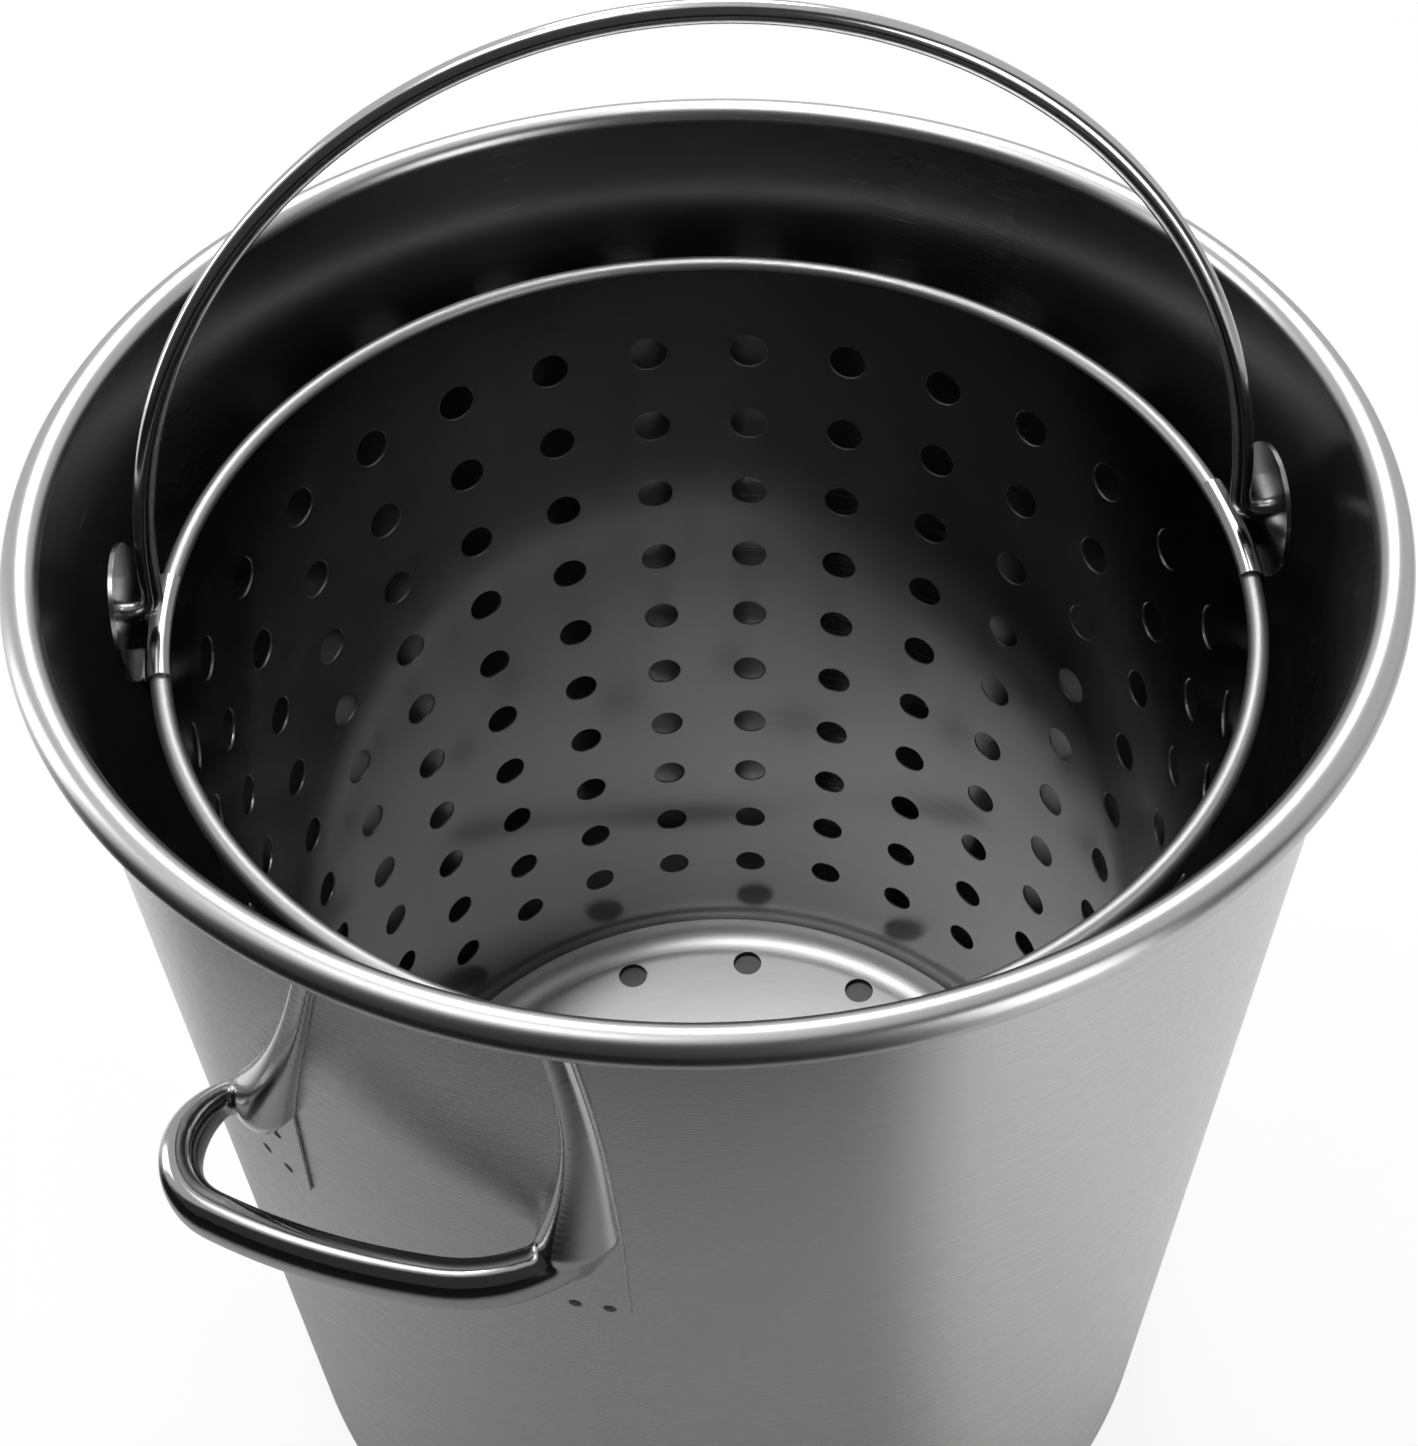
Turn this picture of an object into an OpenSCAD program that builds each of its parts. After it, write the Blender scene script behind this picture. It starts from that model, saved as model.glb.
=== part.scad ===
// Tall stockpot with a perforated lift-out basket.
// Origin on the ground under the pot's axis, +Z up, the two side handles on the X axis.

/* [Pot] */
// Outside diameter of the wall
pot_d = 402; // [340:1:460]
// Height from the ground to the top of the rim
pot_h = 486; // [440:1:560]
// Thickness of the sheet
pot_wall = 1.2; // [0.8:0.1:2]
// Outside radius where the wall turns into the floor
pot_corner_r = 14; // [8:1:24]
// Thickness across the rolled rim
pot_roll_d = 11.2; // [8:0.2:14]

/* [Basket] */
// Free space all round between the pot's wall and the basket's
basket_gap = 26.8; // [20:0.2:40]
// Height from the basket's underside to the top of its rim
basket_h = 436; // [400:1:440]
// Thickness of the sheet
basket_wall = 1; // [0.8:0.1:1.6]
// Outside radius of the dished bottom's edge
basket_corner_r = 12; // [8:1:20]
// Thickness across the rolled rim
basket_roll_d = 6.4; // [5:0.2:9]
// Angle from the pot's handles to the basket's ears
basket_turn = 122.9; // [0:0.1:180]

/* [Holes] */
// Diameter of every hole
hole_d = 15; // [8:0.5:18]
// Holes around the wall
hole_columns = 27; // [12:1:30]
// Rows of holes down the wall
hole_rows = 10; // [3:1:10]
// Depth of the top row below the basket's rim
hole_top_drop = 41.6; // [36:0.1:50]
// Height of the bottom row above the basket's underside
hole_bottom_rise = 64.1; // [30:0.1:80]
// Angle from the ears to the nearest column of holes
hole_phase = -1.7; // [-6:0.1:6]
// Distance from the wall to the middle of the bottom's outer ring of holes
floor_ring_inset = 24; // [20:1:40]
// Distance from one ring of the bottom to the next
floor_ring_step = 58; // [40:1:70]
// Holes in the outer ring of the bottom
floor_ring_holes = 15; // [6:1:20]
// Angle from the ears to the nearest hole of the outer ring
floor_phase = 6.3; // [-12:0.1:12]

/* [Ears and bail] */
// Diameter of each ear's disc
ear_d = 44; // [30:1:50]
// Thickness of the ears' sheet
ear_sheet = 1.5; // [1:0.1:2]
// Free space between an ear's saddle and its disc
ear_gap = 2.6; // [2:0.1:6]
// Width of the bend that joins the saddle to the disc
ear_neck_w = 18; // [10:1:26]
// Depth of that bend below the middle of the basket's rim
ear_bend_drop = 14; // [12:1:24]
// Length of the saddle along the rim
saddle_len = 46; // [30:1:60]
// Height of the bail's pivot above the basket's rim
pivot_rise = 6.8; // [6:0.1:12]
// Diameter of the bail's rod
rod_d = 6.5; // [5:0.1:7]
// Radius of the bend at each end of the bail, to the rod's middle
bail_bend_r = 7; // [5:0.5:12]
// Length of rod that stands out past the disc
pin_stub = 4; // [2:0.5:8]
// Free space all round the rod in the ear's hole
pin_play = 0.08; // [0.02:0.01:0.1]
// Lean of the bail from upright, away from the near handle
bail_lean = 9; // [-60:1:60]

/* [Handles] */
// Distance from the wall to the front of the grip
handle_reach = 36; // [30:1:50]
// Distance from the handle's middle to the grip's left side, to the middle of its section
grip_left_y = 68.5; // [60:0.5:76]
// Radius of the grip's left corner
grip_left_r = 22.5; // [18:0.5:28]
// Radius of the long, shallow curve of the grip's front
grip_front_r = 230; // [160:5:400]
// Distance from the handle's middle to where the front turns into the right corner
grip_turn_y = 24; // [10:1:34]
// Radius of the grip's right corner
grip_right_r = 50; // [44:1:60]
// Depth of the grip's top below the pot's rim
grip_drop = 113; // [90:1:130]
// Height of the grip's section
grip_h = 19; // [14:0.5:24]
// Thickness of the grip's section
grip_t = 12; // [8:0.5:14]
// Distance from the handle's middle to the foot of the left leg, then of the right leg
leg_foot_y = [50, 55];
// Depth of the legs' tips below the pot's rim
leg_top_drop = 14; // [12.5:0.5:30]
// Width of a leg at its narrowest
leg_waist_w = 7; // [6:0.5:14]
// Width of a leg at the grip
leg_foot_w = 23; // [16:1:30]
// Height of a leg's ridge near its tip
leg_tip_rise = 2.4; // [1.5:0.1:4]
// Height of a leg's ridge at the grip
leg_foot_rise = 10; // [8:0.5:16]
// How far the tip of the left leg, then of the right leg, leans to the middle
leg_lean = [39, 0];
// Outward bow halfway up the left leg, then the right leg
leg_bow = [-2, 4];

/* [Pads] */
// Thickness of the pads under the legs
pad_t = 1.2; // [0.8:0.1:2]
// Distance from the handle's middle to the middle of a pad's lower end
pad_foot_y = 55; // [45:0.5:65]
// Width of a pad's lower end
pad_w = 24.6; // [20:0.2:32]
// Margin of a pad beside its leg
pad_margin = 0.4; // [0.2:0.1:3]
// Depth of a pad's lower edge below the pot's rim
pad_bottom_drop = 162; // [140:1:190]

/* [Hidden] */
$fn = 128;

steel = [0.78, 0.79, 0.8];
bright_steel = [0.86, 0.87, 0.88];

// Pot
pot_ro = pot_d / 2;
pot_ri = pot_ro - pot_wall;
roll_steps = 18;
corner_steps = 8;
roll_end_angle = -122;

// Basket, which stands on the pot's floor
basket_ro = pot_ri - basket_gap;
basket_ri = basket_ro - basket_wall;
basket_z = pot_wall;
basket_top_z = basket_z + basket_h;
basket_roll_r = basket_roll_d / 2;
basket_bead_r = basket_ri + basket_roll_r;
basket_bead_z = basket_top_z - basket_roll_r;
seam_z = basket_z + basket_corner_r;
hole_column_angle = 360 / hole_columns;
hole_row_pitch = (basket_h - hole_top_drop - hole_bottom_rise) / (hole_rows - 1);
floor_ring_r = basket_ro - floor_ring_inset;
drill_h = 6 * basket_wall;

// Ears and bail
saddle_in_r = basket_bead_r + basket_roll_r;
saddle_out_r = saddle_in_r + ear_sheet;
saddle_angle = saddle_len / saddle_in_r * 180 / PI;
saddle_tip_angle = 150;
disc_in_r = saddle_out_r + ear_gap;
disc_out_r = disc_in_r + ear_sheet;
ear_bend_z = basket_bead_z - ear_bend_drop;
pivot_z = basket_top_z + pivot_rise;
ear_overlap = 3;
bend_to_disc = 1;
bail_r = disc_in_r - bail_bend_r - bend_to_disc;
bail_start_angle = asin(bail_bend_r / (bail_r + bail_bend_r));
bend_mid_x = (bail_r + bail_bend_r) * cos(bail_start_angle);
pin_h = disc_out_r + pin_stub - bend_mid_x;
collar_h = 1;
collar_d = rod_d + 0.1;
arc_trim = 0.05;
bend_trim = 1;

// Handles
grip_z = pot_h - grip_drop - grip_h / 2;
grip_front_x = pot_ro + handle_reach - grip_t / 2;
grip_power = 3;
grip_points = 16;
grip_overlap = 8;
grip_cut_gap = 0.2;
grip_left_sweep = 156;
grip_left_steps = 12;
grip_front_steps = 7;
grip_right_steps = 8;
grip_left_x = grip_front_x - grip_left_r;
grip_front_y = grip_left_y - grip_left_r;
grip_turn_angle = asin((grip_turn_y + grip_front_y) / grip_front_r);
grip_right_c = [grip_front_x - grip_front_r + (grip_front_r - grip_right_r) * cos(grip_turn_angle),
                grip_turn_y - grip_right_r * sin(grip_turn_angle)];
grip_end_angle = acos((pot_ro - grip_overlap - grip_right_c[0]) / grip_right_r);
LEFT = 0;
RIGHT = 1;
pad_out_r = pot_ro + pad_t;
leg_rings = 14;
foot_rings = 4;
leg_half_points = 8;
leg_edge_rise = 0.8;
leg_seat_gap = 0.01;
leg_taper_power = 2.4;
leg_end_w = [20, 14];
leg_end_y = [60, 52];
leg_end_rise = 6;
leg_bell = 0.8;
leg_end_bell = 0.35;

// Points along an arc about c
function arc(c, r, a0, a1, n) = [for (i = [0 : n]) let (a = a0 + (a1 - a0) * i / n) c + r * [cos(a), sin(a)]];

// Closed outline of a sheet that runs up a wall and rolls outwards into a rim
function rolled_edge(ri, t, top_z, roll_d) = let (c = [ri + roll_d / 2, top_z - roll_d / 2])
    concat(arc(c, roll_d / 2 - t, 180, roll_end_angle, roll_steps),
           arc(c, roll_d / 2, roll_end_angle, 180, roll_steps));

// x of a point that lies at y on a round wall of radius r
function wall_x(r, y) = sqrt(r * r - y * y);

// Share of the way down a leg, from its tip to the grip's top, and then on to the grip's underside
function leg_share(drop) = min(1, (drop - leg_top_drop) / (grip_drop - leg_top_drop));
function foot_share(drop) = max(0, (drop - grip_drop) / grip_h);
function leg_taper(drop) = pow(leg_share(drop), leg_taper_power);

// Half the width of a leg, and the height of its ridge over the pad
function leg_half_w(drop, side) =
    (leg_waist_w + (leg_foot_w - leg_waist_w) * leg_taper(drop) - (leg_foot_w - leg_end_w[side]) * foot_share(drop)) / 2;
function leg_rise(drop) =
    leg_tip_rise + (leg_foot_rise - leg_tip_rise) * leg_taper(drop) - (leg_foot_rise - leg_end_rise) * foot_share(drop);

// Distance of a leg's middle from the handle's middle
function leg_mid_y(drop, side) = let (u = leg_share(drop))
    leg_foot_y[side] - leg_lean[side] * (1 - u) + leg_bow[side] * sin(180 * u)
    + (leg_end_y[side] - leg_foot_y[side]) * foot_share(drop);

// One level outline of a leg: its ridged front, then its back against the pad
function leg_outline(drop, side) =
    let (mid = leg_mid_y(drop, side), hw = leg_half_w(drop, side), rise = leg_rise(drop),
         power = leg_bell + (leg_end_bell - leg_bell) * foot_share(drop))
    concat([for (i = [-leg_half_points : leg_half_points])
                let (t = i / leg_half_points, y = mid + t * hw,
                     bell = pow((1 + cos(180 * t)) / 2, power))
                [wall_x(pad_out_r, y) + leg_edge_rise + (rise - leg_edge_rise) * bell, y, pot_h - drop]],
           [for (i = [leg_half_points : -1 : -leg_half_points])
                let (y = mid + i / leg_half_points * hw)
                [wall_x(pad_out_r + leg_seat_gap, y), y, pot_h - drop]]);

// Heights at which a leg's outline is taken, down from the rim
leg_drops = [for (i = [0 : leg_rings]) leg_top_drop + (grip_drop - leg_top_drop) * i / leg_rings];
foot_drops = [for (i = [1 : foot_rings]) grip_drop + grip_h * i / foot_rings];

// Rounded outline of the grip's section, across and up
grip_outline = [for (i = [0 : grip_points - 1])
    let (a = 360 * i / grip_points, c = cos(a), s = sin(a))
    [grip_t / 2 * sign(c) * pow(abs(c), 2 / grip_power),
     grip_h / 2 * sign(s) * pow(abs(s), 2 / grip_power)]];

// A solid through a row of closed outlines that all have the same number of points
module loft(rings) {
    n = len(rings[0]);
    sides = [for (k = [0 : len(rings) - 2], i = [0 : n - 1])
        let (j = (i + 1) % n)
        [k * n + i, k * n + j, (k + 1) * n + j, (k + 1) * n + i]];
    first = [for (i = [n - 1 : -1 : 0]) i];
    last = [for (i = [0 : n - 1]) (len(rings) - 1) * n + i];
    polyhedron([for (ring = rings, p = ring) p], concat(sides, [first, last]), convexity = 6);
}

// One leg of a handle, drawn on the right
module leg(side) {
    loft([for (d = concat(leg_drops, foot_drops)) leg_outline(d, side)]);
}

// The grip's sections along one level arc
function grip_rings(c, r, a0, a1, from, n) = [for (k = [from : n]) let (a = a0 + (a1 - a0) * k / n)
    [for (q = grip_outline) [c[0] + (r + q[0]) * cos(a), c[1] + (r + q[0]) * sin(a), grip_z + q[1]]]];

// The grip: its left corner, its long front and its right corner
module grip() {
    loft(concat(grip_rings([grip_left_x, -grip_front_y], grip_left_r, -grip_left_sweep, 0, 0, grip_left_steps),
                grip_rings([grip_front_x - grip_front_r, -grip_front_y], grip_front_r, 0, grip_turn_angle,
                           1, grip_front_steps),
                grip_rings(grip_right_c, grip_right_r, grip_turn_angle, grip_end_angle, 1, grip_right_steps)));
}

// A cast handle on the +X side of the pot
module handle() {
    difference() {
        grip();
        translate([0, 0, grip_z - grip_h]) cylinder(r = pad_out_r + grip_cut_gap, h = 2 * grip_h);
    }
    leg(RIGHT);
    mirror([0, 1, 0]) leg(LEFT);
}

// Outline of a pad drawn on the right, seen from outside, as [across, height]
function pad_outline(side) =
    concat([for (d = leg_drops) [leg_mid_y(d, side) - leg_half_w(d, side) - pad_margin, pot_h - d]],
           [[pad_foot_y - pad_w / 2, pot_h - pad_bottom_drop],
            [pad_foot_y + pad_w / 2, pot_h - pad_bottom_drop]],
           [for (i = [leg_rings : -1 : 0]) let (d = leg_drops[i])
                [leg_mid_y(d, side) + leg_half_w(d, side) + pad_margin, pot_h - d]]);

// The thin pad between a leg and the wall, drawn on the right
module pad(side) {
    intersection() {
        translate([0, 0, pot_h - pad_bottom_drop])
            difference() {
                cylinder(r = pad_out_r, h = pad_bottom_drop);
                translate([0, 0, -1]) cylinder(r = pot_ro, h = pad_bottom_drop + 2);
            }
        rotate([90, 0, 90])
            linear_extrude(pad_out_r + 1)
                polygon(pad_outline(side));
    }
}

module left_pad() {
    mirror([0, 1, 0]) pad(LEFT);
}

module right_pad() {
    pad(RIGHT);
}

module pot_shell() {
    color(steel)
        rotate_extrude()
            polygon(concat([[0, 0]],
                           arc([pot_ro - pot_corner_r, pot_corner_r], pot_corner_r, -90, 0, corner_steps),
                           rolled_edge(pot_ri, pot_wall, pot_h, pot_roll_d),
                           arc([pot_ro - pot_corner_r, pot_corner_r], pot_corner_r - pot_wall, 0, -90, corner_steps),
                           [[0, pot_wall]]));
}

module near_handle() {
    color(bright_steel) handle();
}

module far_handle() {
    color(bright_steel) rotate(180) handle();
}

module near_pad_left() {
    color(steel) left_pad();
}

module near_pad_right() {
    color(steel) right_pad();
}

module far_pad_left() {
    color(steel) rotate(180) left_pad();
}

module far_pad_right() {
    color(steel) rotate(180) right_pad();
}

module basket_side() {
    color(steel)
        rotate(basket_turn)
            difference() {
                rotate_extrude()
                    polygon(concat([[basket_ri, seam_z], [basket_ro, seam_z]],
                                   rolled_edge(basket_ri, basket_wall, basket_top_z, basket_roll_d)));
                for (column = [0 : hole_columns - 1], row = [0 : hole_rows - 1])
                    rotate(hole_phase + column * hole_column_angle)
                        translate([basket_ro, 0, basket_top_z - hole_top_drop - row * hole_row_pitch])
                            rotate([0, 90, 0])
                                cylinder(d = hole_d, h = drill_h, center = true, $fn = 32);
            }
}

module basket_bottom() {
    rings = floor(floor_ring_r / floor_ring_step);
    color(steel)
        rotate(basket_turn)
            difference() {
                translate([0, 0, basket_z])
                    rotate_extrude()
                        polygon(concat([[0, 0]],
                                       arc([basket_ro - basket_corner_r, basket_corner_r], basket_corner_r,
                                           -90, 0, corner_steps),
                                       arc([basket_ro - basket_corner_r, basket_corner_r],
                                           basket_corner_r - basket_wall, 0, -90, corner_steps),
                                       [[0, basket_wall]]));
                for (ring = [0 : rings]) {
                    ring_r = floor_ring_r - ring * floor_ring_step;
                    holes = max(1, round(floor_ring_holes * ring_r / floor_ring_r));
                    for (i = [0 : holes - 1])
                        rotate(floor_phase + 360 * i / holes)
                            translate([ring_r, 0, basket_z - 1])
                                cylinder(d = hole_d, h = basket_wall + 2, $fn = 32);
                }
            }
}

// An ear on the +X side: a saddle over the rim, a bend below it and an upright disc with the bail's hole
module ear() {
    bend_mid_r = saddle_out_r + ear_gap / 2;
    bend_in_r = ear_gap / 2;
    bend_out_r = bend_in_r + ear_sheet;
    difference() {
        union() {
            rotate(-saddle_angle / 2)
                rotate_extrude(angle = saddle_angle)
                    polygon(concat(arc([basket_bead_r, basket_bead_z], basket_roll_r + ear_sheet,
                                       saddle_tip_angle, 0, roll_steps),
                                   [[saddle_out_r, ear_bend_z], [saddle_in_r, ear_bend_z]],
                                   arc([basket_bead_r, basket_bead_z], basket_roll_r,
                                       0, saddle_tip_angle, roll_steps)));
            translate([0, ear_neck_w / 2, 0])
                rotate([90, 0, 0])
                    linear_extrude(ear_neck_w)
                        polygon(concat([[saddle_in_r, ear_bend_z + ear_overlap]],
                                       arc([bend_mid_r, ear_bend_z], bend_out_r, 180, 360, corner_steps),
                                       [[disc_out_r, pivot_z], [disc_in_r, pivot_z]],
                                       arc([bend_mid_r, ear_bend_z], bend_in_r, 360, 180, corner_steps),
                                       [[saddle_out_r, ear_bend_z + ear_overlap]]));
            translate([disc_in_r, 0, pivot_z])
                rotate([0, 90, 0])
                    cylinder(d = ear_d, h = ear_sheet);
        }
        translate([disc_in_r - 1, 0, pivot_z])
            rotate([0, 90, 0])
                cylinder(d = rod_d + 2 * pin_play, h = ear_sheet + 2);
    }
}

module ear_right() {
    color(steel) rotate(basket_turn + 180) ear();
}

module ear_left() {
    color(steel) rotate(basket_turn) ear();
}

// One end of the bail: the bend outwards and the pin that turns in the ear.
// A collar a hair thicker than the rod bridges each joint, so that all of it is one solid.
module bail_end() {
    translate([bail_r * cos(bail_start_angle), 0, bail_r * sin(bail_start_angle)])
        rotate([0, -bail_start_angle, 0])
            cylinder(d = collar_d, h = collar_h, center = true);
    translate([bend_mid_x, 0, bail_bend_r])
        rotate([90, 0, 0])
            rotate(180 + bail_start_angle + bend_trim)
                rotate_extrude(angle = 90 - bail_start_angle - 2 * bend_trim)
                    translate([bail_bend_r, 0])
                        circle(d = rod_d, $fn = 48);
    translate([bend_mid_x - collar_h / 2, 0, 0])
        rotate([0, 90, 0])
            cylinder(d = collar_d, h = collar_h);
    translate([bend_mid_x, 0, 0])
        rotate([0, 90, 0])
            cylinder(d = rod_d, h = pin_h);
}

module bail() {
    color(bright_steel)
        rotate(basket_turn)
            translate([0, 0, pivot_z])
                rotate([-bail_lean, 0, 0]) {
                    rotate([90, 0, 0])
                        rotate(bail_start_angle + arc_trim)
                            rotate_extrude(angle = 180 - 2 * (bail_start_angle + arc_trim))
                                translate([bail_r, 0])
                                    circle(d = rod_d, $fn = 48);
                    bail_end();
                    mirror([1, 0, 0]) bail_end();
                }
}

pot_shell();
near_handle();
far_handle();
near_pad_left();
near_pad_right();
far_pad_left();
far_pad_right();
basket_side();
basket_bottom();
ear_left();
ear_right();
bail();
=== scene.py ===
# Tall stockpot with its perforated basket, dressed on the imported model
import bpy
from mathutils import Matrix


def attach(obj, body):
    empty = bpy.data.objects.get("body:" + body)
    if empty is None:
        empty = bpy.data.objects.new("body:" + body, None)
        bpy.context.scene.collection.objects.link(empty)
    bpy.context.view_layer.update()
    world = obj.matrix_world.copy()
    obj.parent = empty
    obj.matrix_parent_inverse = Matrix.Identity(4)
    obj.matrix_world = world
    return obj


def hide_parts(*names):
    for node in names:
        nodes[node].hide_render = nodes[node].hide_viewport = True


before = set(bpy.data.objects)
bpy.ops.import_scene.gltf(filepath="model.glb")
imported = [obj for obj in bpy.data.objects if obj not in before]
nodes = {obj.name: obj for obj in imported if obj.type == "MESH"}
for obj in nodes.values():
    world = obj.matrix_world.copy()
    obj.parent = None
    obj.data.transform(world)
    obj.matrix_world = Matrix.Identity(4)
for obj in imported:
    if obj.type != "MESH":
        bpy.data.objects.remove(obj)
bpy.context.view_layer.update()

import math
import bmesh
import bpy
from mathutils import Matrix, Vector

scene = bpy.context.scene
mm = 0.001
print("frame loaded:", len(nodes), "nodes")

# Camera, at the photograph's own place and lens
cameraPlace = {
    "at": (0.403328, 0.209959, 0.873185),
    "right": (-0.444899, 0.895398, -0.018105),
    "up": (-0.672569, -0.320696, 0.666937),
    "back": (0.591368, 0.308897, 0.744894),
    "lens": 48.373,
}
cameraData = bpy.data.cameras.new("photoCamera")
cameraData.sensor_width = 36
cameraData.lens = cameraPlace["lens"]
cameraData.clip_start = 0.02
cameraData.clip_end = 50
camera = bpy.data.objects.new("photoCamera", cameraData)
scene.collection.objects.link(camera)
turn = Matrix((cameraPlace["right"], cameraPlace["up"], cameraPlace["back"])).transposed()
camera.matrix_world = Matrix.Translation(cameraPlace["at"]) @ turn.to_4x4()
scene.camera = camera
scene.view_settings.view_transform = "Standard"
print("camera set")


# Node helpers
def newMaterial(name):
    mat = bpy.data.materials.new(name)
    mat.use_nodes = True
    tree = mat.node_tree
    tree.nodes.clear()
    out = tree.nodes.new("ShaderNodeOutputMaterial")
    bsdf = tree.nodes.new("ShaderNodeBsdfPrincipled")
    tree.links.new(bsdf.outputs["BSDF"], out.inputs["Surface"])
    return mat, tree, bsdf


def mathNode(tree, op, a, b=None, c=None, clamp=False):
    n = tree.nodes.new("ShaderNodeMath")
    n.operation = op
    n.use_clamp = clamp
    for i, v in enumerate((a, b, c)):
        if v is None:
            continue
        if isinstance(v, (int, float)):
            n.inputs[i].default_value = v
        else:
            tree.links.new(v, n.inputs[i])
    return n.outputs[0]


def grey(shade):
    return (shade, shade, shade, 1)


# How far a point lies from the pot's axis
def fromAxis(tree, x, y):
    squares = mathNode(tree, "ADD", mathNode(tree, "MULTIPLY", x, x), mathNode(tree, "MULTIPLY", y, y))
    return mathNode(tree, "SQRT", squares)


def socketIn(tree, name, kind, value=None):
    s = tree.interface.new_socket(name=name, in_out="INPUT", socket_type=kind)
    if value is not None:
        s.default_value = value
    return s


grainLook = {"detail": 5.0, "roughness": 0.65}


# Brushing in lines round the pot's axis, one above the other on a wall and ring in ring on a bottom
def makeTurnedGrain():
    tree = bpy.data.node_groups.new("turnedGrain", "ShaderNodeTree")
    socketIn(tree, "Vector", "NodeSocketVector")
    socketIn(tree, "Lines", "NodeSocketFloat", 1500.0)
    socketIn(tree, "Along", "NodeSocketFloat", 14.0)
    socketIn(tree, "Contrast", "NodeSocketFloat", 1.0)
    tree.interface.new_socket(name="Grain", in_out="OUTPUT", socket_type="NodeSocketFloat")
    inp = tree.nodes.new("NodeGroupInput")
    out = tree.nodes.new("NodeGroupOutput")
    parts = tree.nodes.new("ShaderNodeSeparateXYZ")
    tree.links.new(inp.outputs["Vector"], parts.inputs[0])
    x, y, z = parts.outputs
    across = mathNode(tree, "MULTIPLY", mathNode(tree, "ADD", z, fromAxis(tree, x, y)), inp.outputs["Lines"])
    joined = tree.nodes.new("ShaderNodeCombineXYZ")
    tree.links.new(mathNode(tree, "MULTIPLY", x, inp.outputs["Along"]), joined.inputs[0])
    tree.links.new(mathNode(tree, "MULTIPLY", y, inp.outputs["Along"]), joined.inputs[1])
    tree.links.new(across, joined.inputs[2])
    noise = tree.nodes.new("ShaderNodeTexNoise")
    noise.inputs["Scale"].default_value = 1.0  # the vector is already scaled
    noise.inputs["Detail"].default_value = grainLook["detail"]
    noise.inputs["Roughness"].default_value = grainLook["roughness"]
    tree.links.new(joined.outputs[0], noise.inputs["Vector"])
    centred = mathNode(tree, "SUBTRACT", noise.outputs[0], 0.5)
    scaled = mathNode(tree, "MULTIPLY", centred, inp.outputs["Contrast"])
    tree.links.new(mathNode(tree, "ADD", scaled, 0.5, clamp=True), out.inputs[0])
    return tree


smudgeLook = {
    "roughness": 0.55, "blotch": {"scale": 1.0, "detail": 4.0}, "wave": {"scale": 0.35, "detail": 1.0},
}


# Soft blotches of handling, and the slow waves of thin sheet
def makeSmudges():
    tree = bpy.data.node_groups.new("smudges", "ShaderNodeTree")
    socketIn(tree, "Vector", "NodeSocketVector")
    socketIn(tree, "Scale", "NodeSocketFloat", 12.0)
    tree.interface.new_socket(name="Blotch", in_out="OUTPUT", socket_type="NodeSocketFloat")
    tree.interface.new_socket(name="Wave", in_out="OUTPUT", socket_type="NodeSocketFloat")
    inp = tree.nodes.new("NodeGroupInput")
    out = tree.nodes.new("NodeGroupOutput")
    for i, kind in enumerate(("blotch", "wave")):
        noise = tree.nodes.new("ShaderNodeTexNoise")
        size = mathNode(tree, "MULTIPLY", inp.outputs["Scale"], smudgeLook[kind]["scale"])
        noise.inputs["Detail"].default_value = smudgeLook[kind]["detail"]
        noise.inputs["Roughness"].default_value = smudgeLook["roughness"]
        tree.links.new(inp.outputs["Vector"], noise.inputs["Vector"])
        tree.links.new(size, noise.inputs["Scale"])
        tree.links.new(noise.outputs[0], out.inputs[i])
    return tree


turnedGrain = makeTurnedGrain()
smudges = makeSmudges()


quarterTurn = 0.25  # the grain runs round, so highlights stretch up and down


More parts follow.
